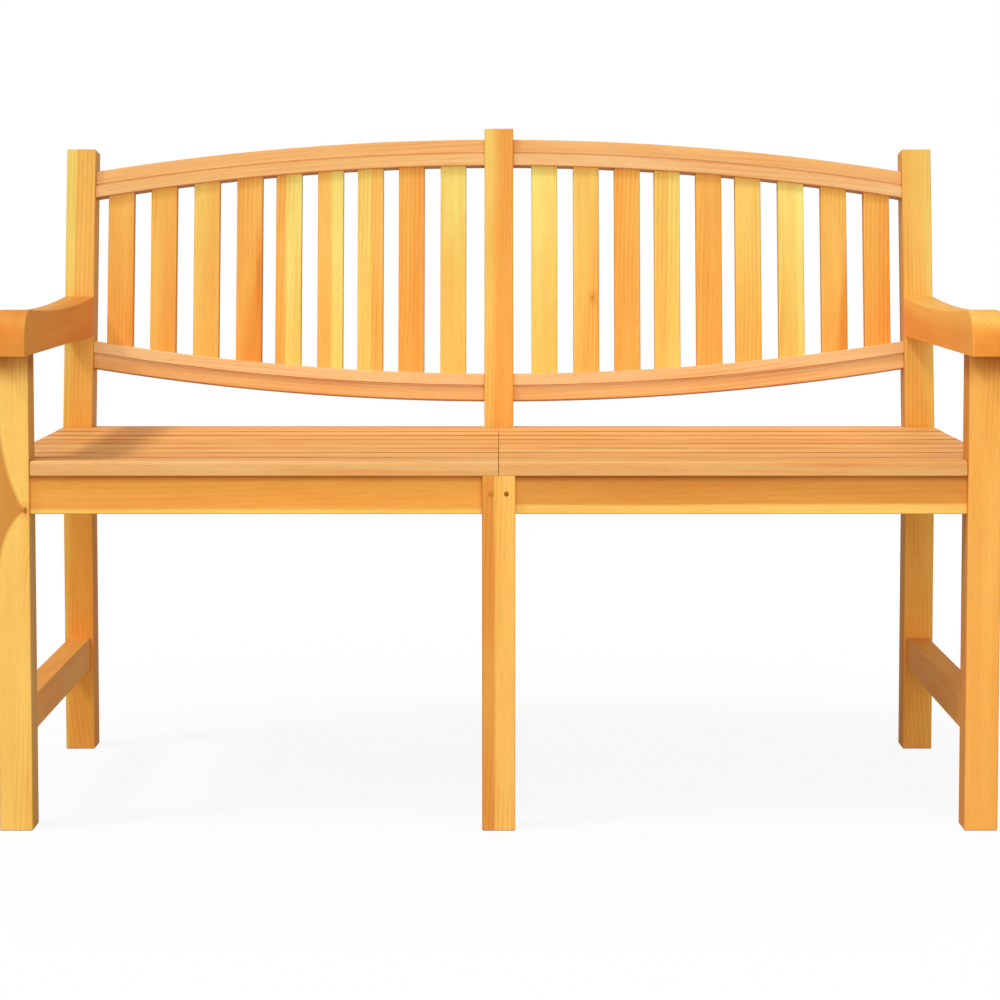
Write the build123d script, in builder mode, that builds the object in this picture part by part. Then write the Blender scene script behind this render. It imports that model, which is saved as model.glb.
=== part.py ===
from build123d import *
from math import atan, cos, degrees, radians, sin, sqrt, tan
import os

# Garden bench for two in solid teak, with an oval slatted back, in millimetres.
# +X runs to the right along the bench, +Y to its back and +Z up.
# The origin is on the ground, under the middle of the whole bench.
# Depths are measured back from the front face of the front legs.
# The right half is modelled, and the left half is its mirror image.

# Legs and posts
overall_width = 1200.0
overall_height = 859.0
leg_width = 40.0
front_leg_depth = 40.0
back_post_depth = 40.0
leg_clear_depth = 438.0
back_rake = 8.6
bend_radius = 120.0
edge_chamfer = 1.0
foot_chamfer = 1.2

# Seat rails and low side stretchers
seat_rail_height = 46.5
front_rail_thickness = 22.0
front_rail_setback = 6.0
rear_rail_thickness = 22.0
rear_rail_setback = 6.0
side_rail_width = 30.0
centre_rail_width = 36.0
stretcher_width = 30.0
stretcher_height = 43.5
stretcher_bottom = 112.0

# Seat slats
seat_height = 447.0
seat_slat_thickness = 18.0
seat_slat_gap = 6.0
seat_slat_count = 6
seat_seam = 0.5
seat_slat_rounding = 2.0
front_slat_depth = 44.0
front_slat_rounding = 5.0
rear_slat_lap = 58.0
rear_slat_reach = 27.0
slat_clearance = 0.8

# Arms
arm_rise = 125.5
arm_height = 54.0
arm_overhang = 20.0
arm_nose_radius = 40.0
arm_scoop = 7.5
arm_rounding = 7.0

# Back rails and back slats
arch_rise = 45.0
centre_post_stand = 14.0
outer_post_stand = 30.0
back_seat_gap = 37.5
back_rail_height = 37.0
back_rail_thickness = 26.0
back_rail_setback = 3.5
back_rail_chamfer = 1.2
rebate_height = 21.0
rebate_depth = 4.0
quirk_width = 3.0
quirk_depth = 1.5
back_slat_width = 36.0
back_slat_thickness = 15.0
back_slat_setback = 6.0
back_slat_housing = 10.0
back_slat_inner_gap = 25.2
back_slat_outer_gap = 17.2
back_slat_spacing = (58.0, 57.0, 55.5, 58.0, 54.5, 59.5, 59.5, 59.5)

# Joinery
tenon_thickness = 10.0
tenon_shoulder = 8.0
tenon_clearance = 0.1
mortise_relief = 0.5
mortise_web = 3.0
stretcher_tenon_length = 20.0
arm_tenon_size = 18.0
arm_tenon_length = 22.0
arm_tenon_height = 27.0
back_rail_tenon_height = 20.0
peg_diameter = 6.0
peg_spacing = 18.6
peg_lift = 1.5
peg_clearance = 0.1

# Places that follow from the sizes above
rake = radians(back_rake)
half_width = overall_width / 2
half_leg = leg_width / 2
leg_inner = half_width - leg_width
leg_middle = half_width - half_leg
post_front = front_leg_depth + leg_clear_depth
arm_underside = seat_height + arm_rise

# The posts bend back at the height where the seat slats rest
seat_underside = seat_height - seat_slat_thickness
centre_post_length = (overall_height - seat_underside) / cos(rake)
chamfer_loss = edge_chamfer * sin(rake)
back_reach = (
    post_front
    + centre_post_length * sin(rake)
    + back_post_depth * cos(rake)
    - chamfer_loss
)
front_y = (arm_overhang - back_reach) / 2

back_plane = Plane(
    origin=(0, front_y + post_front, seat_underside),
    x_dir=(1, 0, 0),
    z_dir=(0, -cos(rake), sin(rake)),
)


def post_face(height):
    """Depth of the leaning front face of the posts at a height."""
    return post_front + (height - seat_underside) * tan(rake)


def centred(middle, size):
    """Limits of a size about its middle."""
    return (middle - size / 2, middle + size / 2)


def grown(limits, by):
    """The same limits with a margin at both ends."""
    return (limits[0] - by, limits[1] + by)


def depths(start, end):
    """Limits along Y of two depths."""
    return (front_y + start, front_y + end)


def block(x, y, z, mode=Mode.ADD):
    """Square block between two limits along each axis."""
    with Locations((sum(x) / 2, sum(y) / 2, sum(z) / 2)):
        Box(x[1] - x[0], y[1] - y[0], z[1] - z[0], mode=mode)


def back_block(x, rise, depth, mode=Mode.ADD):
    """Square block in the plane of the back: across, up the rake, and behind the posts' front."""
    with BuildSketch(back_plane.offset(-depth[0])) as outline:
        with Locations((sum(x) / 2, sum(rise) / 2)):
            Rectangle(x[1] - x[0], rise[1] - rise[0])
    extrude(outline.sketch, amount=depth[0] - depth[1], mode=mode)


def mortise_limits(tenon, along):
    """Limits of the pocket for a tenon that is pushed in along x, y or z."""
    margins = {axis: tenon_clearance for axis in "xyz"}
    margins[along] = mortise_relief
    return [grown(limits, margin) for limits, margin in zip(tenon, margins.values())]


def flipped(tenon):
    """The same tenon on the other side of the bench's middle."""
    x, second, third = tenon
    return ((-x[1], -x[0]), second, third)


def cut_mortise(tenon, along):
    """Pocket for a square tenon."""
    block(*mortise_limits(tenon, along), mode=Mode.SUBTRACT)


def cut_back_mortise(tenon):
    """Pocket in a post for a tenon of the back rails, which enters along x."""
    back_block(*mortise_limits(tenon, "x"), mode=Mode.SUBTRACT)


def mirrored(piece):
    """The same piece on the left half of the bench."""
    with BuildPart() as other:
        mirror(piece.part, about=Plane.YZ)
    return other


def write(piece, name):
    """Names a piece and writes its file."""
    piece.part.label = name
    export_step(piece.part, f"parts/{name}.step")


def write_pair(piece, name):
    """Writes a piece of the right half and its mirror image."""
    write(piece, f"{name}_right")
    write(mirrored(piece), f"{name}_left")


os.makedirs("parts", exist_ok=True)

# Tenons of the seat rails and stretchers, each as its limits along X, Y and Z
rail_tenon_length = (leg_width - mortise_web) / 2 - mortise_relief
end_tenon_x = (leg_inner, leg_inner + rail_tenon_length)
centre_tenon_x = (half_leg - rail_tenon_length, half_leg)

seat_rail_bottom = seat_underside - seat_rail_height
seat_rail_z = (seat_rail_bottom, seat_underside)
seat_tenon_z = grown(seat_rail_z, -tenon_shoulder)
front_rail_middle = front_rail_setback + front_rail_thickness / 2
rear_rail_middle = post_front + back_post_depth - rear_rail_setback - rear_rail_thickness / 2
front_tenon_depth = centred(front_rail_middle, tenon_thickness)
rear_tenon_depth = centred(rear_rail_middle, tenon_thickness)
front_tenon_y = depths(*front_tenon_depth)
rear_tenon_y = depths(*rear_tenon_depth)

# The tenons of the side and centre rails stop short of the ones they cross
bearer_front_y = depths(front_tenon_depth[1] + mortise_web + mortise_relief, front_leg_depth)
bearer_rear_y = depths(post_front, rear_tenon_depth[0] - mortise_web - mortise_relief)
side_tenon_x = centred(leg_middle, tenon_thickness)
middle_tenon_x = centred(0, tenon_thickness)

stretcher_z = (stretcher_bottom, stretcher_bottom + stretcher_height)
stretcher_tenon_z = grown(stretcher_z, -tenon_shoulder)
stretcher_front_y = depths(front_leg_depth - stretcher_tenon_length, front_leg_depth)
stretcher_rear_y = depths(post_front, post_front + stretcher_tenon_length)

front_rail_end_tenon = (end_tenon_x, front_tenon_y, seat_tenon_z)
front_rail_centre_tenon = (centre_tenon_x, front_tenon_y, seat_tenon_z)
rear_rail_end_tenon = (end_tenon_x, rear_tenon_y, seat_tenon_z)
rear_rail_centre_tenon = (centre_tenon_x, rear_tenon_y, seat_tenon_z)
side_rail_front_tenon = (side_tenon_x, bearer_front_y, seat_tenon_z)
side_rail_rear_tenon = (side_tenon_x, bearer_rear_y, seat_tenon_z)
centre_rail_front_tenon = (middle_tenon_x, bearer_front_y, seat_tenon_z)
centre_rail_rear_tenon = (middle_tenon_x, bearer_rear_y, seat_tenon_z)
stretcher_front_tenon = (side_tenon_x, stretcher_front_y, stretcher_tenon_z)
stretcher_rear_tenon = (side_tenon_x, stretcher_rear_y, stretcher_tenon_z)

# Tenons of the arms: the leg's top enters the arm, and the arm's end enters the post
arm_middle = arm_underside + arm_height / 2
leg_top_tenon = (
    centred(leg_middle, arm_tenon_size),
    centred(front_y + front_leg_depth / 2, arm_tenon_size),
    (arm_underside, arm_underside + arm_tenon_length),
)
arm_end_tenon = (
    side_tenon_x,
    depths(post_front, post_face(arm_middle) + arm_tenon_length),
    centred(arm_middle, arm_tenon_height),
)

# Arched back rails, drawn in the plane of the back with their crown on the bench's middle
arch_radius = (leg_inner**2 + arch_rise**2) / (2 * arch_rise)
crown = centre_post_length - centre_post_stand
trough = (seat_slat_thickness + back_seat_gap) / cos(rake)
outer_post_length = crown - arch_rise + outer_post_stand


def arch(apex, bowed_up, inset, x):
    """Height up the rake, at x, of the edge that lies an inset inside an arch bowed up or down."""
    radius = arch_radius - inset
    drop = inset + radius - sqrt(radius**2 - x**2)
    return apex - drop if bowed_up else apex + drop


def back_rail_tenons(apex, bowed_up):
    """Tenons of a back rail: at the end post, then at the centre post."""
    front = back_rail_setback + rebate_depth
    rear = back_rail_setback + back_rail_thickness
    depth = centred((front + rear) / 2, tenon_thickness)
    end_rise = arch(apex, bowed_up, back_rail_height / 2, leg_inner)
    centre_rise = arch(apex, bowed_up, back_rail_height / 2, half_leg)
    return (
        (end_tenon_x, centred(end_rise, back_rail_tenon_height), depth),
        (centre_tenon_x, centred(centre_rise, back_rail_tenon_height), depth),
    )


top_end_tenon, top_centre_tenon = back_rail_tenons(crown, bowed_up=True)
bottom_end_tenon, bottom_centre_tenon = back_rail_tenons(trough, bowed_up=False)

# Pegs lock the front rails' tenons in the centre leg
peg_height = sum(seat_tenon_z) / 2 + peg_lift
peg_length = front_rail_setback + front_rail_thickness
peg_places = [(-peg_spacing / 2, peg_height), (peg_spacing / 2, peg_height)]
peg_plane = Plane(origin=(0, front_y, 0), x_dir=(1, 0, 0), z_dir=(0, -1, 0))


def peg_holes():
    """Bores for the two pegs, from the front face of the centre leg."""
    with BuildSketch(peg_plane) as bores:
        with Locations(*peg_places):
            Circle(peg_diameter / 2 + peg_clearance)
    extrude(bores.sketch, amount=-peg_length - mortise_relief, mode=Mode.SUBTRACT)


# Front legs at the ends, up to the arms
with BuildPart() as front_leg:
    block((leg_inner, half_width), depths(0, front_leg_depth), (0, arm_underside))
    chamfer(front_leg.edges().filter_by(Axis.Z), length=edge_chamfer)
    chamfer(front_leg.faces().sort_by(Axis.Z)[0].edges(), length=foot_chamfer)
    block(*leg_top_tenon)
    cut_mortise(front_rail_end_tenon, "x")
    cut_mortise(side_rail_front_tenon, "y")
    cut_mortise(stretcher_front_tenon, "y")
write_pair(front_leg, "front_leg")

# Front leg in the middle, up to the seat slats
with BuildPart() as centre_leg:
    block((-half_leg, half_leg), depths(0, front_leg_depth), (0, seat_underside))
    chamfer(centre_leg.edges().filter_by(Axis.Z), length=edge_chamfer)
    chamfer(centre_leg.faces().sort_by(Axis.Z)[0].edges(), length=foot_chamfer)
    cut_mortise(front_rail_centre_tenon, "x")
    cut_mortise(flipped(front_rail_centre_tenon), "x")
    cut_mortise(centre_rail_front_tenon, "y")
    peg_holes()
write(centre_leg, "front_leg_centre")


def post_blank(x, length):
    """Back post and rear leg in one: upright below the seat, leaning back above it."""
    top_front = (front_y + post_front + length * sin(rake), seat_underside + length * cos(rake))
    top_rear = (
        top_front[0] + back_post_depth * cos(rake),
        top_front[1] - back_post_depth * sin(rake),
    )
    front_bend = (front_y + post_front, seat_underside)
    rear_bend = (
        front_bend[0] + back_post_depth,
        seat_underside - back_post_depth * tan(rake / 2),
    )
    with BuildSketch(Plane.YZ.offset(x[0])) as side:
        with BuildLine():
            FilletPolyline(
                (front_bend[0], 0),
                front_bend,
                top_front,
                top_rear,
                rear_bend,
                (rear_bend[0], 0),
                radius=[0, bend_radius, 0, 0, bend_radius, 0],
                close=True,
            )
        make_face()
    extrude(side.sketch, amount=x[1] - x[0])


def ease_post(post):
    """Chamfers the long edges, the top and the foot of a post."""
    outlines = post.faces().filter_by(Axis.X).edges()
    long_edges = outlines.filter_by_position(Axis.Z, edge_chamfer, overall_height)
    top_edges = post.edges().filter_by(Axis.X).sort_by(Axis.Z)[-2:]
    chamfer(long_edges + top_edges, length=edge_chamfer)
    chamfer(post.faces().sort_by(Axis.Z)[0].edges(), length=foot_chamfer)


# Back posts at the ends
with BuildPart() as back_post:
    post_blank((leg_inner, half_width), outer_post_length)
    ease_post(back_post)
    cut_mortise(rear_rail_end_tenon, "x")
    cut_mortise(side_rail_rear_tenon, "y")
    cut_mortise(stretcher_rear_tenon, "y")
    cut_mortise(arm_end_tenon, "y")
    cut_back_mortise(top_end_tenon)
    cut_back_mortise(bottom_end_tenon)
write_pair(back_post, "back_post")

# Back post in the middle, the tallest
with BuildPart() as centre_post:
    post_blank((-half_leg, half_leg), centre_post_length)
    ease_post(centre_post)
    cut_mortise(rear_rail_centre_tenon, "x")
    cut_mortise(flipped(rear_rail_centre_tenon), "x")
    cut_mortise(centre_rail_rear_tenon, "y")
    for tenon in (top_centre_tenon, bottom_centre_tenon):
        cut_back_mortise(tenon)
        cut_back_mortise(flipped(tenon))
write(centre_post, "back_post_centre")


def seat_rail(x, depth):
    """Rail under the seat slats."""
    block(x, depths(*depth), seat_rail_z)


def ease_lower_edges(rail, axis):
    """Chamfers the two long lower edges of a rail."""
    chamfer(rail.edges().filter_by(axis).group_by(Axis.Z)[0], length=edge_chamfer)


# Front seat rails, set back under the nose of the front slats
with BuildPart() as front_rail:
    seat_rail((half_leg, leg_inner), centred(front_rail_middle, front_rail_thickness))
    ease_lower_edges(front_rail, Axis.X)
    block(*front_rail_end_tenon)
    block(*front_rail_centre_tenon)
    peg_holes()
write_pair(front_rail, "front_seat_rail")

# Rear seat rails
with BuildPart() as rear_rail:
    seat_rail((half_leg, leg_inner), centred(rear_rail_middle, rear_rail_thickness))
    ease_lower_edges(rear_rail, Axis.X)
    block(*rear_rail_end_tenon)
    block(*rear_rail_centre_tenon)
write_pair(rear_rail, "rear_seat_rail")

# Side seat rails, which carry the outer ends of the slats
with BuildPart() as side_rail:
    seat_rail(centred(leg_middle, side_rail_width), (front_leg_depth, post_front))
    ease_lower_edges(side_rail, Axis.Y)
    block(*side_rail_front_tenon)
    block(*side_rail_rear_tenon)
write_pair(side_rail, "side_seat_rail")

# Centre seat rail, which carries the inner ends of both sets of slats
with BuildPart() as centre_rail:
    seat_rail(centred(0, centre_rail_width), (front_leg_depth, post_front))
    ease_lower_edges(centre_rail, Axis.Y)
    block(*centre_rail_front_tenon)
    block(*centre_rail_rear_tenon)
write(centre_rail, "centre_seat_rail")

# Low stretchers between the front and back legs at each end
with BuildPart() as stretcher:
    block(centred(leg_middle, stretcher_width), depths(front_leg_depth, post_front), stretcher_z)
    chamfer(stretcher.edges().filter_by(Axis.Y), length=edge_chamfer)
    block(*stretcher_front_tenon)
    block(*stretcher_rear_tenon)
write_pair(stretcher, "side_stretcher")

# Arms, scooped along the top, with a round nose before the legs whose outer corner is eased.
# The easing runs out where the scoop is deepest.
arm_top = arm_underside + arm_height
arm_rear = front_y + post_face(arm_top)
arm_length = post_face(arm_top) + arm_overhang - arm_nose_radius
scoop_angle = 2 * atan(2 * arm_scoop / arm_length)
nose_front = front_y - arm_overhang
nose_start = (nose_front, arm_top - arm_nose_radius)
with BuildPart() as arm:
    with BuildSketch(Plane.YZ.offset(leg_inner)):
        with BuildLine():
            nose = JernArc(
                start=nose_start,
                tangent=(0, 1),
                radius=arm_nose_radius,
                arc_size=-90 - degrees(scoop_angle),
            )
            scoop = TangentArc(nose @ 1, (arm_rear, arm_top), tangent=nose % 1)
            Polyline(
                scoop @ 1,
                (front_y + post_face(arm_underside), arm_underside),
                (nose_front, arm_underside),
                nose_start,
            )
        make_face()
    extrude(amount=leg_width)
    chamfer(arm.edges().filter_by(GeomType.CIRCLE).group_by(Axis.X)[0], length=edge_chamfer)
    with BuildSketch(Plane.XZ.offset(-nose_front)):
        with Locations((half_width, arm_top)):
            Rectangle(2 * arm_rounding, 2 * arm_rounding)
        with Locations((half_width - arm_rounding, arm_top - arm_rounding)):
            Circle(arm_rounding, mode=Mode.SUBTRACT)
    extrude(amount=nose_front - (scoop @ 0.5).X, mode=Mode.SUBTRACT)
    block(*arm_end_tenon)
    cut_mortise(leg_top_tenon, "z")
write_pair(arm, "arm")

# Places of the back slats, from the middle outwards, in the proportions of their spacing
back_slat_span = leg_inner - half_leg - back_slat_inner_gap - back_slat_outer_gap
spacing_scale = (back_slat_span - back_slat_width) / sum(back_slat_spacing)
back_slat_places = [half_leg + back_slat_inner_gap + back_slat_width / 2]
for spacing in back_slat_spacing:
    back_slat_places.append(back_slat_places[-1] + spacing * spacing_scale)
back_slat_front = back_rail_setback + back_slat_setback
back_slat_depth = (back_slat_front, back_slat_front + back_slat_thickness)


def slat_reach(x):
    """Lower and upper end of the back slat at x, housed in both rails."""
    lower = arch(trough, False, back_rail_height, x) - back_slat_housing
    upper = arch(crown, True, back_rail_height, x) + back_slat_housing
    return (lower, upper)


def arched_band(apex, bowed_up, outer, inner):
    """Outline of the strip of a back rail between two insets from its arch."""
    ends = (half_leg, (half_leg + leg_inner) / 2, leg_inner)
    outer_edge = [(x, arch(apex, bowed_up, outer, x)) for x in ends]
    inner_edge = [(x, arch(apex, bowed_up, inner, x)) for x in ends]
    with BuildSketch(back_plane.offset(-back_rail_setback)) as band:
        with BuildLine():
            ThreePointArc(*outer_edge)
            Line(outer_edge[-1], inner_edge[-1])
            ThreePointArc(*inner_edge)
            Line(outer_edge[0], inner_edge[0])
        make_face()
    return band.sketch


def back_rail_blank(rail, apex, bowed_up):
    """Arched rail, its outer strip rebated and quirked, before its tenons and housings."""
    extrude(arched_band(apex, bowed_up, 0, back_rail_height), amount=-back_rail_thickness)
    rebate = arched_band(apex, bowed_up, 0, rebate_height)
    extrude(rebate, amount=-rebate_depth, mode=Mode.SUBTRACT)
    step_radius = arch_radius - rebate_height
    arcs = rail.edges().filter_by(GeomType.CIRCLE)
    edges = arcs.filter_by(lambda edge: abs(edge.radius - step_radius) > back_rail_chamfer)
    chamfer(edges, length=back_rail_chamfer)
    quirk = arched_band(apex, bowed_up, rebate_height - quirk_width, rebate_height)
    extrude(quirk, amount=-rebate_depth - quirk_depth, mode=Mode.SUBTRACT)


def cut_slat_housings():
    """Pockets for the ends of the back slats."""
    for x in back_slat_places:
        pocket_x = centred(x, back_slat_width + 2 * tenon_clearance)
        pocket_rise = grown(slat_reach(x), mortise_relief)
        pocket_depth = grown(back_slat_depth, tenon_clearance)
        back_block(pocket_x, pocket_rise, pocket_depth, mode=Mode.SUBTRACT)


# Top rails of the back
with BuildPart() as top_rail:
    back_rail_blank(top_rail, crown, bowed_up=True)
    back_block(*top_end_tenon)
    back_block(*top_centre_tenon)
    cut_slat_housings()
write_pair(top_rail, "back_top_rail")

# Bottom rails of the back
with BuildPart() as bottom_rail:
    back_rail_blank(bottom_rail, trough, bowed_up=False)
    back_block(*bottom_end_tenon)
    back_block(*bottom_centre_tenon)
    cut_slat_housings()
write_pair(bottom_rail, "back_bottom_rail")

# Back slats, counted from the middle of the bench
for number, place in enumerate(back_slat_places, start=1):
    with BuildPart() as back_slat:
        back_block(centred(place, back_slat_width), slat_reach(place), back_slat_depth)
        long_edges = back_slat.edges().filter_by(Axis(back_plane.origin, back_plane.y_dir))
        chamfer(long_edges, length=edge_chamfer)
    write_pair(back_slat, f"back_slat_{number}")

# Seat slats, in two halves that meet over the centre rail
seat_inner = seat_seam / 2
rear_slat_front = post_front - rear_slat_lap
seat_slat_zone = rear_slat_front - front_slat_depth - (seat_slat_count + 1) * seat_slat_gap
seat_slat_width = seat_slat_zone / seat_slat_count


def seat_board(x, depth):
    """Flat board of the seat, lying on its rails."""
    block(x, depths(*depth), (seat_underside, seat_height))


def upper_edges_of(board):
    """Edges round the top face of a seat board."""
    return board.faces().sort_by(Axis.Z)[-1].edges()


# Front slats, between the front legs and flush with them
with BuildPart() as front_slat:
    seat_board((seat_inner, leg_inner - slat_clearance), (0, front_slat_depth))
    edges = upper_edges_of(front_slat).filter_by(Axis.X).sort_by(Axis.Y)
    fillet(edges[0], radius=front_slat_rounding)
    fillet(edges[-1], radius=seat_slat_rounding)
write_pair(front_slat, "seat_front_slat")

# Full slats, out to the outer faces of the legs
for number in range(1, seat_slat_count + 1):
    slat_front = front_slat_depth + seat_slat_gap + (number - 1) * (seat_slat_width + seat_slat_gap)
    with BuildPart() as seat_slat:
        seat_board((seat_inner, half_width), (slat_front, slat_front + seat_slat_width))
        fillet(upper_edges_of(seat_slat).filter_by(Axis.X), radius=seat_slat_rounding)
    write_pair(seat_slat, f"seat_slat_{number}")

# Rear slats, notched round the posts
with BuildPart() as rear_slat:
    notch_front = post_front - slat_clearance
    seat_board((seat_inner, half_width), (rear_slat_front, notch_front))
    seat_board(
        (half_leg + slat_clearance, leg_inner - slat_clearance),
        (notch_front, post_front + rear_slat_reach),
    )
    fillet(upper_edges_of(rear_slat).filter_by(Axis.X), radius=seat_slat_rounding)
write_pair(rear_slat, "seat_rear_slat")

# Pegs
with BuildPart() as pegs:
    with BuildSketch(peg_plane):
        with Locations(*peg_places):
            Circle(peg_diameter / 2)
    extrude(amount=-peg_length)
write(pegs, "tenon_pegs")
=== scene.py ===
import math
from dataclasses import dataclass

import bpy
from mathutils import Matrix, Vector


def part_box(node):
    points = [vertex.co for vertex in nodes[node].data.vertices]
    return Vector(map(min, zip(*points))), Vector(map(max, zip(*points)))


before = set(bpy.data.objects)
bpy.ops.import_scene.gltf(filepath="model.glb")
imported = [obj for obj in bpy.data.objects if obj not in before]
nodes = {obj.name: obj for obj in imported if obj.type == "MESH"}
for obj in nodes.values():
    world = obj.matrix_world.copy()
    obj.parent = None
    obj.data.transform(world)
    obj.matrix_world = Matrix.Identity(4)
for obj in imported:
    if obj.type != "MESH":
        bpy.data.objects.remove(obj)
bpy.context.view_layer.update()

# Directions in the bench's frame
RIGHT = Vector((1, 0, 0))
BACK = Vector((0, 1, 0))
UP = Vector((0, 0, 1))

# Lean of the back, slope of its arched rails' chords, and radius along the middle of the rails in metres
BACK_RAKE = math.radians(8.6)
RAIL_CHORD = math.radians(4.8)
RAIL_RADIUS = 3.488

# Rounding of the sawn edges, in metres
EDGE_ROUNDING = 0.0007
EDGE_SEGMENTS = 2
SHARP_EDGE = math.radians(30)
FLAT_ENOUGH = math.radians(0.3)
SAME_POINT = 0.00001

# Lamps, as the way that their light travels, with their strength and softness, and the light all round
KEY_LAMP = (Vector((0.52, 0.22, -0.83)), 1.4, math.radians(10))
HIGH_LAMP = (Vector((0.0, 0.5, -0.85)), 0.7, math.radians(60))
FILL_STRENGTH = 0.31

# Softboxes in front of the bench and behind it, by place and power, and their common size
FRONT_BOX = (Vector((0.0, -2.0, 0.6)), 20.0)
BACK_BOX = (Vector((0.3, 2.1, 0.7)), 15.0)
BOX_WIDTH = 2.8
BOX_HEIGHT = 1.0
BOX_AIM = Vector((0.0, 0.0, 0.45))

# Floor: its size in metres, and its gloss
FLOOR_SIZE = 30.0
FLOOR_ROUGHNESS = 0.9
FLOOR_GLOSS = 0.1

# How much light the floor throws back at the bench, how pale it looks and how much it glows
FLOOR_BOUNCE = 0.4
FLOOR_PALENESS = 0.8
FLOOR_GLOW = 0.9

# Distances from the middle of the bench between which the floor fades to plain white, in metres
FLOOR_FADE = (0.4, 1.6)

# Camera, in metres and radians, with its lens in millimetres, for a square picture
CAMERA_PLACE = Vector((0.0016, -3.3553, 0.7424))
CAMERA_PITCH = math.radians(3.7)
CAMERA_LENS = 93.24
CAMERA_SHIFT_DOWN = 0.12


def srgb(red, green, blue):
    """A colour in 0 to 255 as the eye sees it, as the linear colour that shaders use."""
    def linear(value):
        share = value / 255
        return share / 12.92 if share <= 0.04045 else ((share + 0.055) / 1.055) ** 2.4

    return (linear(red), linear(green), linear(blue), 1.0)


# Tones of teak, from sapwood to dark heartwood
PALE = srgb(250, 230, 126)
STRAW = srgb(250, 220, 116)
HONEY = srgb(250, 209, 108)
AMBER = srgb(250, 198, 100)
ORANGE = srgb(249, 189, 93)
RUSSET = srgb(248, 180, 85)
TAWNY = srgb(241, 166, 73)
COPPER = srgb(227, 154, 68)
UMBER = srgb(210, 142, 62)
# BROWN also paints shade on inward sides and undersides, under lips and along seat slat edges
BROWN = srgb(150, 92, 40)

# Tones of boards that are bleached by the weather
PEACH = srgb(249, 203, 142)
SAND = srgb(248, 199, 132)
FAWN = srgb(247, 191, 122)
WHEAT = srgb(246, 188, 109)
CLAY = srgb(240, 176, 105)
DUST = srgb(230, 173, 106)

# Tones of the peg that shows its end grain and of a pale knot
OLIVE = srgb(165, 115, 42)
MUSTARD = srgb(196, 148, 52)

# Shades that the tones are multiplied by
PALER = (1.02, 1.06, 1.1, 1.0)
DARKER = (0.97, 0.91, 0.84, 1.0)
DEEPER = srgb(246, 204, 156)
# RUDDIER darkens feet; on the end posts it paints the seat's shade
RUDDIER = srgb(255, 208, 156)

# Features of the wood per metre along the grain, across the board and into it
WAVES = (2.4, 8, 8)
RING_DRIFTS = (0.9, 30, 30)
RING_PATCHES = (4, 22, 22)
SAP_WAVES = (2.6, 3, 3)
CLOUDS = (5, 30, 30)
STREAKS = (1.3, 60, 60)
THREADS = (3, 330, 330)
FIBRES = (9, 900, 900)
PORES = (42, 1300, 1300)
KNOT_FRAYS = (120, 260, 260)

# Levels of the noise between which a feature comes up
CLOUD_LEVELS = (0.3, 0.7)
PATCH_LEVELS = (0.4, 0.62)
THREAD_LEVELS = (0.5, 0.75)
PORE_LEVELS = (0.66, 0.74)
LIP_LEVELS = (0.2, 0.6)
PAINTED_EDGE_LEVELS = (0.3, 0.6)

# How much each feature shows
CLOUD_STRENGTH = 0.8
STREAK_STRENGTH = 0.6
THREAD_STRENGTH = 0.12
FIBRE_STRENGTH = 0.1
PORE_STRENGTH = 0.12
END_GRAIN_STRENGTH = 0.5
KNOT_STRENGTH = 0.85
HALO_STRENGTH = 0.55

# Rings per metre of radius, with the shares of a ring in which its late wood comes up and ends
RINGS = 190.0
LATE_WOOD_RISE = (0.25, 0.85)
LATE_WOOD_FALL = (0.88, 1.0)

# How far the grain waves and the rings drift, in metres, and the sapwood's line in shares of its softness
WAVE_DEPTH = 0.02
RING_DRIFT = 0.006
SAP_WANDER = 2.5

# A knot's core and halo, in shares of its size, and how ragged they are
KNOT_CORE = (1.5, 0.7)
KNOT_HALO = (3.4, 1.2)
KNOT_RAGGEDNESS = 0.7
SMALLEST_KNOT = 0.0001

# How fast a knot's push on the grain fades above it and, with the opposite sign, below it
KNOT_FADES = (0.5, -1.0)

# Band along a board's long edges that gets painted shade, for the gaps between seat slats, in metres from
# the edge
PAINTED_EDGE_BAND = (0.0035, 0.0005)

# Least share of the painted shade that clouds leave under a lip and along an edge
LIP_LEAST = 0.6
PAINTED_EDGE_LEAST = 0.3

# Cosines between which a face comes to count as an end, and as a side or an underside
END_FACING = (0.7, 0.95)
SIDE_FACING = (0.5, 0.95)

# Gloss and relief of the oiled wood
ROUGHNESS = 0.55
FIBRE_ROUGHNESS = 0.22
GLOSS = 0.15
RELIEF_STRENGTH = 0.35
RELIEF_DEPTH = 0.0004
FIBRE_RELIEF = 0.5
PORE_RELIEF = -0.7
RING_RELIEF = -0.15

# Step from one board to the next in the log that they all come from
LOG_STEP = (3.1, 7.7, 5.3)

# Sockets of a Mix node that take and give colours
MIX_FIRST = 6
MIX_SECOND = 7
MIX_RESULT = 2


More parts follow.
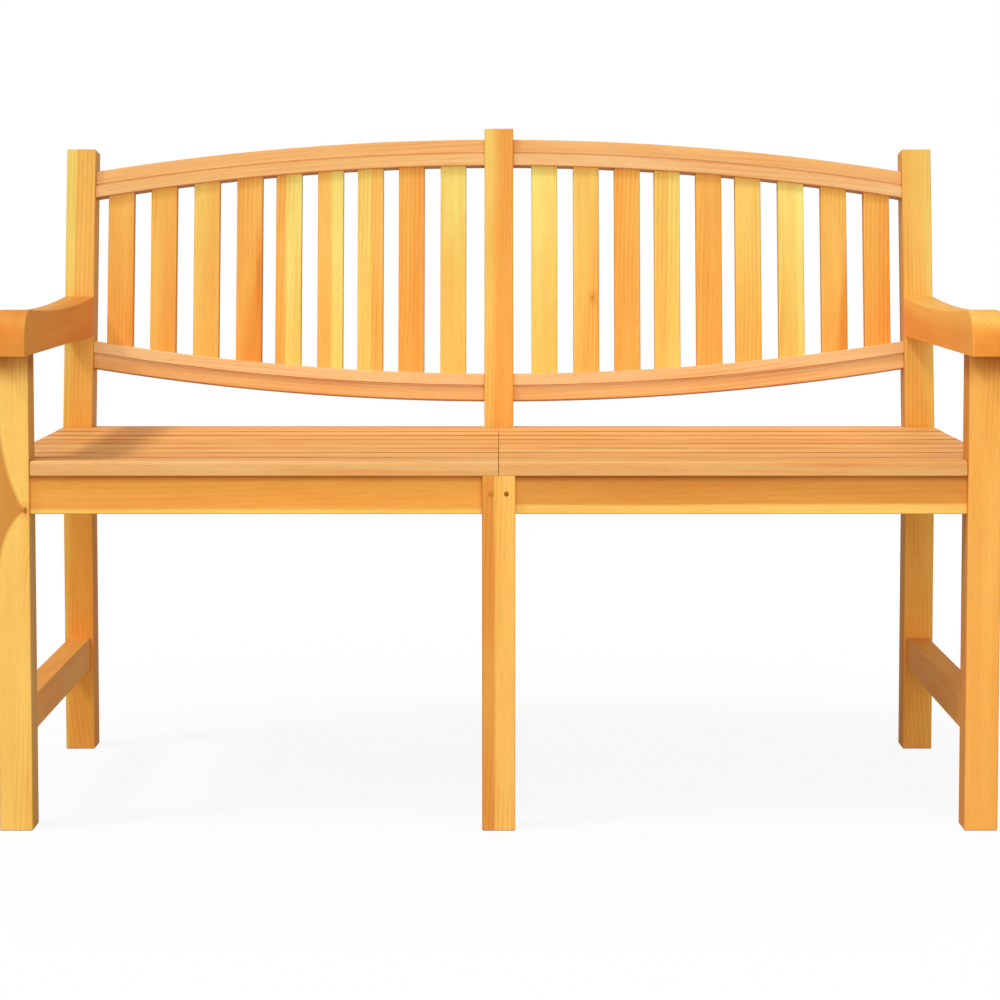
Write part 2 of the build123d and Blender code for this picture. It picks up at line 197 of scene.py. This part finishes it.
@dataclass
class Look:
    """What one board looks like.

    Places across a board are shares of its half width, from -1 to 1. Places along it are metres from
    its middle. Shades go from 0 to 1.
    """

    # Two tones, where they part across the board, how softly, and how that place moves along it
    heart: tuple = HONEY
    sap: tuple = HONEY
    split: float = 0.0
    soft: float = 0.25
    drift: float = 0.0

    # Bend of the grain, strength and lean of the rings, and place of the pith in metres
    bow: float = 0.0
    figure: float = 0.45
    lean: float = 0.02
    pith: tuple = (0.09, -0.05)

    # Painted shade of the long edges, for the gaps between boards, and of the inward sides
    painted_edge_shade: float = 0.0
    painted_side_shade: float = 0.0

    # Darkening towards the foot, which on the end posts is painted shade of the seat, and where along the
    # board it starts and is full
    foot_tone_and_painted_shade: float = 0.0
    foot: tuple = (0.08, -0.12)

    # Painted shadow under the board above, how far below this board's top it starts to fade, and its
    # reach
    lip_painted_shadow: float = 0.0
    lip: tuple = (0.0, 0.01)

    # One knot: its place along and across, its size, tone and roundness, and its push on the grain
    knot: tuple = (0.0, 0.0)
    knot_size: float = 0.0
    knot_tone: tuple = BROWN
    knot_roundness: float = 0.6
    knot_push: float = 0.0
    knot_reach: float = 0.03


class Tree:
    """Adds and links the nodes of one shader tree."""

    def __init__(self, tree):
        self.tree = tree

    def add(self, kind, **settings):
        node = self.tree.nodes.new(kind)
        for name, value in settings.items():
            setattr(node, name, value)
        return node

    def put(self, socket, value):
        """Links a socket to another node's output, or sets its value."""
        if isinstance(value, bpy.types.NodeSocket):
            self.tree.links.new(value, socket)
        else:
            socket.default_value = value

    def math(self, operation, *values):
        node = self.add("ShaderNodeMath", operation=operation)
        for socket, value in zip(node.inputs, values):
            self.put(socket, value)
        return node.outputs[0]

    def vector(self, operation, *values, output="Vector"):
        node = self.add("ShaderNodeVectorMath", operation=operation)
        for socket, value in zip(node.inputs, values):
            self.put(socket, value)
        return node.outputs[output]

    def split(self, vector):
        node = self.add("ShaderNodeSeparateXYZ")
        self.put(node.inputs[0], vector)
        return node.outputs

    def join(self, x, y, z):
        node = self.add("ShaderNodeCombineXYZ")
        for socket, value in zip(node.inputs, (x, y, z)):
            self.put(socket, value)
        return node.outputs[0]

    def noise(self, place, per_metre, detail=2.0):
        """Noise from 0 to 1 with a number of features per metre along each axis."""
        node = self.add("ShaderNodeTexNoise")
        self.put(node.inputs["Vector"], self.vector("MULTIPLY", place, per_metre))
        node.inputs["Scale"].default_value = 1.0
        node.inputs["Detail"].default_value = detail
        return node.outputs["Fac"]

    def swing(self, place, per_metre, detail=2.0):
        """Noise from -0.5 to 0.5."""
        return self.math("SUBTRACT", self.noise(place, per_metre, detail), 0.5)

    def ease(self, value, start, end, low=0.0, high=1.0):
        """Smooth step from low at start to high at end."""
        node = self.add("ShaderNodeMapRange", interpolation_type="SMOOTHSTEP")
        for name, number in (
            ("Value", value),
            ("From Min", start),
            ("From Max", end),
            ("To Min", low),
            ("To Max", high),
        ):
            self.put(node.inputs[name], number)
        return node.outputs[0]

    def mix(self, factor, first, second, mode="MIX"):
        """Mixes two colours."""
        node = self.add("ShaderNodeMix", data_type="RGBA", blend_type=mode)
        self.put(node.inputs["Factor"], factor)
        self.put(node.inputs[MIX_FIRST], first)
        self.put(node.inputs[MIX_SECOND], second)
        return node.outputs[MIX_RESULT]

    def shade(self, colour, factor, tone):
        """Multiplies a colour by a tone."""
        return self.mix(factor, colour, tone, mode="MULTIPLY")

    def seen(self):
        """1 for rays from the camera, straight or by way of gloss and glass, and 0 for others."""
        path = self.add("ShaderNodeLightPath").outputs
        direct = self.math("MAXIMUM", path["Is Camera Ray"], path["Is Glossy Ray"])
        return self.math("MAXIMUM", direct, path["Is Transmission Ray"])


FIGURE_INPUTS = {
    "NodeSocketVector": ("Place", "Pith", "Knot"),
    "NodeSocketColor": ("Heart", "Sap", "Knot Tone"),
    "NodeSocketFloat": (
        "Seed", "Split", "Soft", "Drift", "Bow", "Half Width", "Figure", "Lean",
        "End Grain", "Side", "Foot", "Painted Lip Shadow", "Painted Edge Shade",
        "Knot Size", "Knot Roundness", "Knot Push", "Knot Reach",
    ),
}
FIGURE_OUTPUTS = {
    "NodeSocketColor": ("Colour",),
    "NodeSocketFloat": ("Roughness", "Height"),
}


@dataclass
class Grain:
    """What the layers of the figure share.

    These are the place on the board and in its log, the place across in grain that the knot pushes
    aside, the place from the knot, and the clouds.
    """

    along: bpy.types.NodeSocket
    across: bpy.types.NodeSocket
    into: bpy.types.NodeSocket
    log: bpy.types.NodeSocket
    pushed: bpy.types.NodeSocket
    knot_along: bpy.types.NodeSocket
    knot_across: bpy.types.NodeSocket
    cloud: bpy.types.NodeSocket


def lay_grain(wood, given):
    """Grain of a board, which bends with it and is pushed aside by its knot."""
    along, across, into = wood.split(given["Place"])
    bowed = wood.math("MULTIPLY_ADD", wood.math("MULTIPLY", along, along), given["Bow"], across)

    # The push dies away from the knot in both directions
    from_knot = wood.vector("SUBTRACT", given["Place"], given["Knot"])
    knot_along, knot_across, _ = wood.split(from_knot)
    paces = [wood.math("MULTIPLY", knot_along, fade) for fade in KNOT_FADES]
    reach = wood.math("DIVIDE", wood.math("MAXIMUM", *paces), given["Knot Reach"])
    share = wood.math("POWER", math.e, wood.math("MULTIPLY", reach, -1.0))
    pushed = wood.math("SUBTRACT", bowed, wood.math("MULTIPLY", share, given["Knot Push"]))

    # Each board shows another stretch of the same log
    step = wood.vector("SCALE", LOG_STEP)
    wood.put(step.node.inputs["Scale"], given["Seed"])
    log = wood.vector("ADD", given["Place"], step)
    cloud = wood.noise(log, CLOUDS)
    return Grain(along, across, into, log, pushed, knot_along, knot_across, cloud)


def growth_rings(wood, given, grain):
    """Late wood of the rings that lie about the pith, from 0 to 1, in grain that waves."""
    wave = wood.swing(grain.log, WAVES, detail=1.0)
    drawn = wood.math("MULTIPLY_ADD", wave, WAVE_DEPTH, grain.pushed)
    _, pith_across, pith_into = wood.split(given["Pith"])
    ring_across = wood.math("SUBTRACT", drawn, pith_across)
    ring_into = wood.math("SUBTRACT", grain.into, pith_into)
    radius = wood.vector("LENGTH", wood.join(0.0, ring_across, ring_into), output="Value")
    leaned = wood.math("MULTIPLY_ADD", grain.along, given["Lean"], radius)
    uneven = wood.math("MULTIPLY_ADD", wood.noise(grain.log, RING_DRIFTS), RING_DRIFT, leaned)
    ring = wood.math("FRACT", wood.math("MULTIPLY", uneven, RINGS))
    rise = wood.ease(ring, *LATE_WOOD_RISE)
    fall = wood.ease(ring, *LATE_WOOD_FALL, 1.0, 0.0)
    return wood.math("MULTIPLY", rise, fall)


def ground(wood, given, grain):
    """Colour of heartwood and sapwood, with clouds and streaks that run with the grain."""
    # Sapwood starts along a wavering line
    edge_wave = wood.swing(grain.log, SAP_WAVES)
    wander = wood.math("MULTIPLY", edge_wave, wood.math("MULTIPLY", given["Soft"], SAP_WANDER))
    limit = wood.math("MULTIPLY_ADD", grain.along, given["Drift"], given["Split"])
    edge = wood.math("SUBTRACT", wood.math("ADD", grain.pushed, wander), limit)
    sap = wood.ease(wood.math("DIVIDE", edge, given["Soft"]), -1.0, 1.0)
    colour = wood.mix(sap, given["Heart"], given["Sap"])

    # Clouds and streaks are paler and darker than the wood round them
    streak = wood.noise(grain.log, STREAKS)
    for level, strength in ((grain.cloud, CLOUD_STRENGTH), (streak, STREAK_STRENGTH)):
        tone = wood.mix(wood.ease(level, *CLOUD_LEVELS), PALER, DARKER)
        colour = wood.shade(colour, strength, tone)
    return colour


def draw_lines(wood, given, grain, colour, late_wood, fibre, pore):
    """Adds rings, which show in patches, and threads, fibres and pores, which show everywhere."""
    patch = wood.ease(wood.noise(grain.log, RING_PATCHES, detail=1.0), *PATCH_LEVELS)
    ring_strength = wood.math("MULTIPLY", wood.math("MULTIPLY", late_wood, patch), given["Figure"])
    thread = wood.noise(grain.log, THREADS)
    colour = wood.shade(colour, ring_strength, DEEPER)
    for level, strength in ((thread, THREAD_STRENGTH), (fibre, FIBRE_STRENGTH)):
        colour = wood.shade(colour, wood.ease(level, *THREAD_LEVELS, 0.0, strength), DEEPER)
    return wood.shade(colour, wood.math("MULTIPLY", pore, PORE_STRENGTH), BROWN)


def darken(wood, given, grain, colour):
    """Darkens end grain and feet, and paints shade on inward sides, undersides, the part under another
    board and long edges.
    """
    end_grain = wood.math("MULTIPLY", given["End Grain"], END_GRAIN_STRENGTH)
    colour = wood.shade(colour, end_grain, DEEPER)
    # Painted shade on inward sides and undersides, then the darker foot, which on the end posts is
    # painted shade
    colour = wood.shade(colour, given["Side"], BROWN)
    colour = wood.shade(colour, given["Foot"], RUDDIER)

    # Painted shadow: boards are darker just under the lip of the board above them
    lip_shadow_clouds = wood.ease(grain.cloud, *LIP_LEVELS, LIP_LEAST, 1.0)
    colour = wood.shade(colour, wood.math("MULTIPLY", given["Painted Lip Shadow"], lip_shadow_clouds), BROWN)

    # Painted shade: the long edges are darker, where the gaps between seat slats fall in shadow
    from_edge = wood.math("SUBTRACT", given["Half Width"], wood.math("ABSOLUTE", grain.across))
    painted_edge_mask = wood.math("MULTIPLY", wood.ease(from_edge, *PAINTED_EDGE_BAND), given["Painted Edge Shade"])
    painted_edge_clouds = wood.ease(grain.cloud, *PAINTED_EDGE_LEVELS, PAINTED_EDGE_LEAST, 1.0)
    return wood.shade(colour, wood.math("MULTIPLY", painted_edge_mask, painted_edge_clouds), BROWN)


def add_knot(wood, given, grain, colour):
    """Adds the knot, with a ragged core and a halo."""
    length = wood.math("MULTIPLY", grain.knot_along, given["Knot Roundness"])
    distance = wood.vector("LENGTH", wood.join(length, grain.knot_across, 0.0), output="Value")
    size = wood.math("MAXIMUM", given["Knot Size"], SMALLEST_KNOT)
    frays = wood.noise(grain.log, KNOT_FRAYS)
    ragged = wood.math("MULTIPLY_ADD", frays, KNOT_RAGGEDNESS, wood.math("DIVIDE", distance, size))
    colour = wood.shade(colour, wood.ease(ragged, *KNOT_HALO, 0.0, HALO_STRENGTH), DEEPER)
    core = wood.math("MULTIPLY", wood.ease(ragged, *KNOT_CORE), KNOT_STRENGTH)
    return wood.mix(core, colour, given["Knot Tone"])


def teak_figure():
    """Shared figure of sawn teak: rings, streaks, fibres, pores, sapwood and one knot."""
    group = bpy.data.node_groups.new("teak figure", "ShaderNodeTree")
    for direction, sockets in (("INPUT", FIGURE_INPUTS), ("OUTPUT", FIGURE_OUTPUTS)):
        for kind, names in sockets.items():
            for name in names:
                group.interface.new_socket(name, in_out=direction, socket_type=kind)
    wood = Tree(group)
    given = wood.add("NodeGroupInput").outputs
    result = wood.add("NodeGroupOutput").inputs

    grain = lay_grain(wood, given)
    late_wood = growth_rings(wood, given, grain)
    fibre = wood.noise(grain.log, FIBRES, detail=1.0)
    pore = wood.ease(wood.noise(grain.log, PORES, detail=0.0), *PORE_LEVELS)
    colour = ground(wood, given, grain)
    colour = draw_lines(wood, given, grain, colour, late_wood, fibre, pore)
    colour = darken(wood, given, grain, colour)
    colour = add_knot(wood, given, grain, colour)

    wood.put(result["Colour"], colour)
    wood.put(result["Roughness"], wood.math("MULTIPLY_ADD", fibre, FIBRE_ROUGHNESS, ROUGHNESS))
    fibre_height = wood.math("MULTIPLY", fibre, FIBRE_RELIEF)
    grooves = wood.math("MULTIPLY_ADD", pore, PORE_RELIEF, fibre_height)
    wood.put(result["Height"], wood.math("MULTIPLY_ADD", late_wood, RING_RELIEF, grooves))
    return group


teak_group = teak_figure()

# Painted shade on the inward sides of upright boards and on undersides, and how much darker the back
# slats get towards the foot
UPRIGHT_PAINTED_SIDE_SHADE = 0.4
PAINTED_UNDER_SHADE = 0.6
SLAT_FOOT_SHADE = 0.2


def teak(name, look, grain, across, seed):
    """Material of one board: its figure, laid along the grain from the middle of the board."""
    low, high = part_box(name)
    middle = (low + high) / 2
    turn = Matrix((grain, across, grain.cross(across)))
    half = (high - low).dot(Vector(map(abs, across))) / 2
    material = bpy.data.materials.new(f"teak {name}")
    material.use_nodes = True
    wood = Tree(material.node_tree)

    place = wood.add("ShaderNodeTexCoord").outputs["Object"]
    mapping = wood.add("ShaderNodeMapping")
    wood.put(mapping.inputs["Vector"], place)
    mapping.inputs["Rotation"].default_value = turn.to_euler()
    mapping.inputs["Location"].default_value = -(turn @ middle)
    laid = mapping.outputs["Vector"]

    # Faces at the ends, and inward sides and undersides, which get painted shade
    normal = wood.add("ShaderNodeNewGeometry").outputs["Normal"]
    endward = wood.vector("DOT_PRODUCT", normal, grain, output="Value")
    end_grain = wood.ease(wood.math("ABSOLUTE", endward), *END_FACING)
    to_middle = across * -math.copysign(1, middle.x)
    inward = wood.vector("DOT_PRODUCT", normal, to_middle, output="Value")
    side = wood.ease(inward, *SIDE_FACING, 0.0, look.painted_side_shade)
    downward = wood.vector("DOT_PRODUCT", normal, -UP, output="Value")
    under = wood.ease(downward, *SIDE_FACING, 0.0, PAINTED_UNDER_SHADE)

    # Stretches at the foot, and under the board above, which gets a painted shadow
    foot = wood.ease(wood.split(laid)[0], *look.foot, 0.0, look.foot_tone_and_painted_shade)
    lip_start, lip_reach = look.lip
    drop = wood.math("SUBTRACT", high.z - lip_start, wood.split(place)[2])
    lip = wood.ease(drop, lip_reach, 0.0, 0.0, look.lip_painted_shadow)

    board = wood.add("ShaderNodeGroup", node_tree=teak_group)
    for socket, value in (
        ("Place", laid),
        ("Seed", seed),
        ("Heart", look.heart),
        ("Sap", look.sap),
        ("Split", look.split * half),
        ("Soft", look.soft * half),
        ("Drift", look.drift * half),
        ("Bow", look.bow),
        ("Half Width", half),
        ("Figure", look.figure),
        ("Lean", look.lean),
        ("Pith", (0.0, *look.pith)),
        ("End Grain", end_grain),
        ("Side", wood.math("MAXIMUM", side, under)),
        ("Foot", foot),
        ("Painted Lip Shadow", lip),
        ("Painted Edge Shade", look.painted_edge_shade),
        ("Knot", (look.knot[0], look.knot[1] * half, 0.0)),
        ("Knot Size", look.knot_size),
        ("Knot Tone", look.knot_tone),
        ("Knot Roundness", look.knot_roundness),
        ("Knot Push", look.knot_push),
        ("Knot Reach", look.knot_reach),
    ):
        wood.put(board.inputs[socket], value)

    relief = wood.add("ShaderNodeBump")
    relief.inputs["Strength"].default_value = RELIEF_STRENGTH
    relief.inputs["Distance"].default_value = RELIEF_DEPTH
    wood.put(relief.inputs["Height"], board.outputs["Height"])
    shader = wood.tree.nodes["Principled BSDF"]
    wood.put(shader.inputs["Base Color"], board.outputs["Colour"])
    wood.put(shader.inputs["Roughness"], board.outputs["Roughness"])
    wood.put(shader.inputs["Normal"], relief.outputs["Normal"])
    shader.inputs["Specular IOR Level"].default_value = GLOSS
    return material


# Ways that boards are laid: along the grain, then across the side that shows most
LEANING = Vector((0, math.sin(BACK_RAKE), math.cos(BACK_RAKE)))
UPRIGHT = (UP, RIGHT)
RAKED = (LEANING, RIGHT)
FRONTAL = (RIGHT, UP)
FLAT = (RIGHT, BACK)
SIDEWAYS = (BACK, UP)
ENDWISE = (BACK, RIGHT)


def chord(side, arch):
    """Way of a back rail on one side, -1 or 1, whose arch points up, 1, or down, -1."""
    turn = side * arch * RAIL_CHORD
    grain = RIGHT * math.cos(turn) - LEANING * math.sin(turn)
    across = LEANING * math.cos(turn) + RIGHT * math.sin(turn)
    return (grain, across)


# Pith right behind the face, so that the rings show wide in the middle
FLAT_SAWN = (0.004, -0.06)

# Back slats from left to right
BACK_SLATS = {
    "9_left": Look(ORANGE, RUSSET, 0.3, soft=0.8, drift=8.0),
    "8_left": Look(AMBER, RUSSET, -0.1, soft=0.5, drift=3.0, figure=0.9),
    "7_left": Look(HONEY, AMBER, -0.3, soft=0.8),
    "6_left": Look(
        ORANGE, TAWNY, 0.3, soft=0.7, drift=8.0,
        knot=(-0.01, 0.72), knot_size=0.0022, knot_tone=UMBER, knot_roundness=0.07, knot_push=0.006,
    ),
    "5_left": Look(ORANGE, PALE, -0.25, soft=0.15),
    "4_left": Look(AMBER, PALE, 0.05, soft=0.12),
    "3_left": Look(STRAW, AMBER, 0.05, soft=0.12),
    "2_left": Look(ORANGE, RUSSET, 0.1),
    "1_left": Look(HONEY, PALE, soft=0.9, drift=-10.0, pith=FLAT_SAWN),
    "1_right": Look(PALE, STRAW),
    "2_right": Look(
        HONEY, AMBER, 0.2, drift=4.0, knot=(-0.04, 0.5), knot_size=0.003, knot_tone=MUSTARD,
    ),
    "3_right": Look(RUSSET, ORANGE, -0.1),
    "4_right": Look(HONEY, STRAW, soft=0.2),
    "5_right": Look(ORANGE, ORANGE),
    "6_right": Look(HONEY, HONEY),
    "7_right": Look(STRAW, PALE, 0.3, soft=0.4, pith=FLAT_SAWN),
    "8_right": Look(AMBER, TAWNY, 0.75, soft=0.3, drift=6.0),
    "9_right": Look(ORANGE, RUSSET, 0.2),
}

# Seat slats between the front one and the rear one, from front to back, the same in both halves
SEAT_SLATS = (CLAY, WHEAT, WHEAT, CLAY, WHEAT, WHEAT)
# Painted shade along the seat slats' edges, for the gaps between them, and the slats' rings
SEAT_PAINTED_EDGE_SHADE = 0.7
SEAT_FIGURE = 0.8

# Tones of the inner bands of the top rails, and the bend that bands share with their rail's arch
TOP_RAIL_TONES = {"left": SAND, "right": PEACH}
BAND_EDGE = 0.03
RAIL_BOW = 1 / (2 * RAIL_RADIUS)

# Seat rails out of sight
HIDDEN_RAIL = Look(RUSSET, COPPER, 0.2)

# Painted shadow on the front seat rails under the edge of the seat, and their rings
SEAT_PAINTED_SHADOW = 0.7
FRONT_RAIL_FIGURE = 0.2

# Painted shadow on the front legs under the arms
ARM_PAINTED_SHADOW = 0.75
ARM_LIP = (0.026, 0.035)

# Where the painted shade of the seat on the end posts' feet starts and is full
POST_FOOT = (0.2, -0.05)


def seat_look(tone):
    """Look of a seat slat, with painted shade along its edges."""
    return Look(tone, CLAY, 0.4, painted_edge_shade=SEAT_PAINTED_EDGE_SHADE, figure=SEAT_FIGURE)


def front_rail_look(sap, split, soft):
    """Look of a front seat rail."""
    return Look(AMBER, sap, split, soft=soft, lip_painted_shadow=SEAT_PAINTED_SHADOW, figure=FRONT_RAIL_FIGURE)


# Boards by node: their look and the way that they are laid
boards = {f"back_slat_{place}": (look, RAKED) for place, look in BACK_SLATS.items()}
for look in BACK_SLATS.values():
    look.foot_tone_and_painted_shade = SLAT_FOOT_SHADE

for side, sign in (("left", -1), ("right", 1)):
    top_look = Look(TOP_RAIL_TONES[side], FAWN, 0.2, soft=BAND_EDGE, bow=RAIL_BOW)
    bottom_look = Look(FAWN, PEACH, -0.2, soft=BAND_EDGE, bow=-RAIL_BOW)
    boards[f"back_top_rail_{side}"] = (top_look, chord(sign, 1))
    boards[f"back_bottom_rail_{side}"] = (bottom_look, chord(sign, -1))
    boards[f"rear_seat_rail_{side}"] = (HIDDEN_RAIL, FRONTAL)
    boards[f"side_seat_rail_{side}"] = (HIDDEN_RAIL, SIDEWAYS)
    boards[f"side_stretcher_{side}"] = (Look(TAWNY, TAWNY), SIDEWAYS)
    boards[f"seat_front_slat_{side}"] = (Look(DUST, DUST), FLAT)
    boards[f"seat_rear_slat_{side}"] = (seat_look(WHEAT), FLAT)
    for number, tone in enumerate(SEAT_SLATS, start=1):
        boards[f"seat_slat_{number}_{side}"] = (seat_look(tone), FLAT)

boards["centre_seat_rail"] = (HIDDEN_RAIL, SIDEWAYS)
boards["front_seat_rail_left"] = (front_rail_look(TAWNY, -0.75, 0.1), FRONTAL)
boards["front_seat_rail_right"] = (front_rail_look(COPPER, -0.5, 0.08), FRONTAL)
# The left arm is darker than the right, partly by its own tone and partly as painted shade for its inner
# side
boards["arm_left"] = (Look(COPPER, COPPER, figure=0.35), SIDEWAYS)
boards["arm_right"] = (Look(TAWNY, ORANGE, 0.3, soft=0.4), SIDEWAYS)
boards["back_post_left"] = (
    Look(STRAW, AMBER, -0.5, soft=0.12, drift=0.6, foot_tone_and_painted_shade=0.75, foot=POST_FOOT),
    RAKED,
)
boards["back_post_centre"] = (Look(HONEY, RUSSET, -0.3, soft=0.4), RAKED)
boards["back_post_right"] = (
    Look(AMBER, HONEY, 0.5, soft=0.4, foot_tone_and_painted_shade=0.6, foot=POST_FOOT),
    RAKED,
)
boards["front_leg_left"] = (
    Look(
        UMBER, AMBER, -1.0, soft=0.15, lip_painted_shadow=ARM_PAINTED_SHADOW, lip=ARM_LIP,
        knot=(0.09, 0.75), knot_size=0.003, knot_push=0.034, knot_reach=0.028,
    ),
    UPRIGHT,
)
boards["front_leg_centre"] = (Look(COPPER, ORANGE, -0.26, soft=0.12), UPRIGHT)
boards["front_leg_right"] = (
    Look(RUSSET, RUSSET, foot_tone_and_painted_shade=0.2, lip_painted_shadow=ARM_PAINTED_SHADOW, lip=ARM_LIP),
    UPRIGHT,
)
boards["tenon_pegs"] = (Look(UMBER, OLIVE), ENDWISE)


def round_edges(board):
    """Rounds a board's sharp edges a little, on top of its mesh."""
    weld = board.modifiers.new("weld", "WELD")
    weld.merge_threshold = SAME_POINT
    flat = board.modifiers.new("flat faces", "DECIMATE")
    flat.decimate_type = "DISSOLVE"
    flat.angle_limit = FLAT_ENOUGH
    edge = board.modifiers.new("rounded edges", "BEVEL")
    edge.width = EDGE_ROUNDING
    edge.segments = EDGE_SEGMENTS
    edge.limit_method = "ANGLE"
    edge.angle_limit = SHARP_EDGE
    edge.harden_normals = True


for seed, (name, (look, way)) in enumerate(sorted(boards.items())):
    if way in (UPRIGHT, RAKED):
        look.painted_side_shade = UPRIGHT_PAINTED_SIDE_SHADE
    board = nodes[name]
    board.data.materials.clear()
    board.data.materials.append(teak(name, look, *way, seed))
    round_edges(board)


def pale_floor():
    """White floor that keeps the bench's shadow and fades out to plain white."""
    bpy.ops.mesh.primitive_plane_add(size=FLOOR_SIZE)
    floor = bpy.context.object
    floor.name = "floor"
    material = bpy.data.materials.new("pale floor")
    material.use_nodes = True
    paint = Tree(material.node_tree)
    shader = paint.tree.nodes["Principled BSDF"]
    shader.inputs["Roughness"].default_value = FLOOR_ROUGHNESS
    shader.inputs["Specular IOR Level"].default_value = FLOOR_GLOSS
    seen = paint.seen()
    tone = paint.math("MULTIPLY_ADD", seen, FLOOR_PALENESS - FLOOR_BOUNCE, FLOOR_BOUNCE)
    paint.put(shader.inputs["Base Color"], tone)
    place = paint.add("ShaderNodeTexCoord").outputs["Object"]
    distance = paint.vector("LENGTH", place, output="Value")
    share = paint.math("MULTIPLY", seen, paint.ease(distance, *FLOOR_FADE, FLOOR_GLOW, 1.0))
    mix = paint.add("ShaderNodeMixShader")
    paint.put(mix.inputs[0], share)
    paint.put(mix.inputs[1], shader.outputs["BSDF"])
    paint.put(mix.inputs[2], paint.add("ShaderNodeEmission").outputs["Emission"])
    paint.put(paint.tree.nodes["Material Output"].inputs["Surface"], mix.outputs["Shader"])
    floor.data.materials.append(material)


def even_light():
    """Soft white light all round, which the camera sees as plain white."""
    world = bpy.data.worlds.new("studio")
    bpy.context.scene.world = world
    world.use_nodes = True
    sky = Tree(world.node_tree)
    background = sky.tree.nodes["Background"]
    background.inputs["Color"].default_value = (1.0, 1.0, 1.0, 1.0)
    strength = sky.math("MULTIPLY_ADD", sky.seen(), 1 - FILL_STRENGTH, FILL_STRENGTH)
    sky.put(background.inputs["Strength"], strength)


def hold(name, thing):
    """Object in the scene that holds a lamp or a lens."""
    holder = bpy.data.objects.new(name, thing)
    bpy.context.scene.collection.objects.link(holder)
    return holder


def shine(name, way, strength, softness):
    """Broad lamp whose light travels one way."""
    lamp = bpy.data.lights.new(name, "SUN")
    lamp.energy = strength
    lamp.angle = softness
    hold(name, lamp).rotation_euler = way.to_track_quat("-Z", "Y").to_euler()


def softbox(name, place, power):
    """Broad flat lamp that faces the bench and leaves no glare on it."""
    lamp = bpy.data.lights.new(name, "AREA")
    lamp.shape = "RECTANGLE"
    lamp.size = BOX_WIDTH
    lamp.size_y = BOX_HEIGHT
    lamp.energy = power
    holder = hold(name, lamp)
    holder.location = place
    holder.rotation_euler = (BOX_AIM - place).to_track_quat("-Z", "Y").to_euler()
    holder.visible_camera = False
    holder.visible_glossy = False


def photo_camera():
    """Camera at the photograph's place, looking a little down at the bench's front."""
    lens = bpy.data.cameras.new("camera")
    lens.lens = CAMERA_LENS
    lens.shift_y = -CAMERA_SHIFT_DOWN
    camera = hold("camera", lens)
    camera.location = CAMERA_PLACE
    camera.rotation_euler = (math.pi / 2 - CAMERA_PITCH, 0, 0)
    bpy.context.scene.camera = camera


pale_floor()
even_light()
shine("key lamp", *KEY_LAMP)
shine("high lamp", *HIGH_LAMP)
softbox("front box", *FRONT_BOX)
softbox("back box", *BACK_BOX)
photo_camera()
bpy.context.scene.view_settings.view_transform = "Standard"
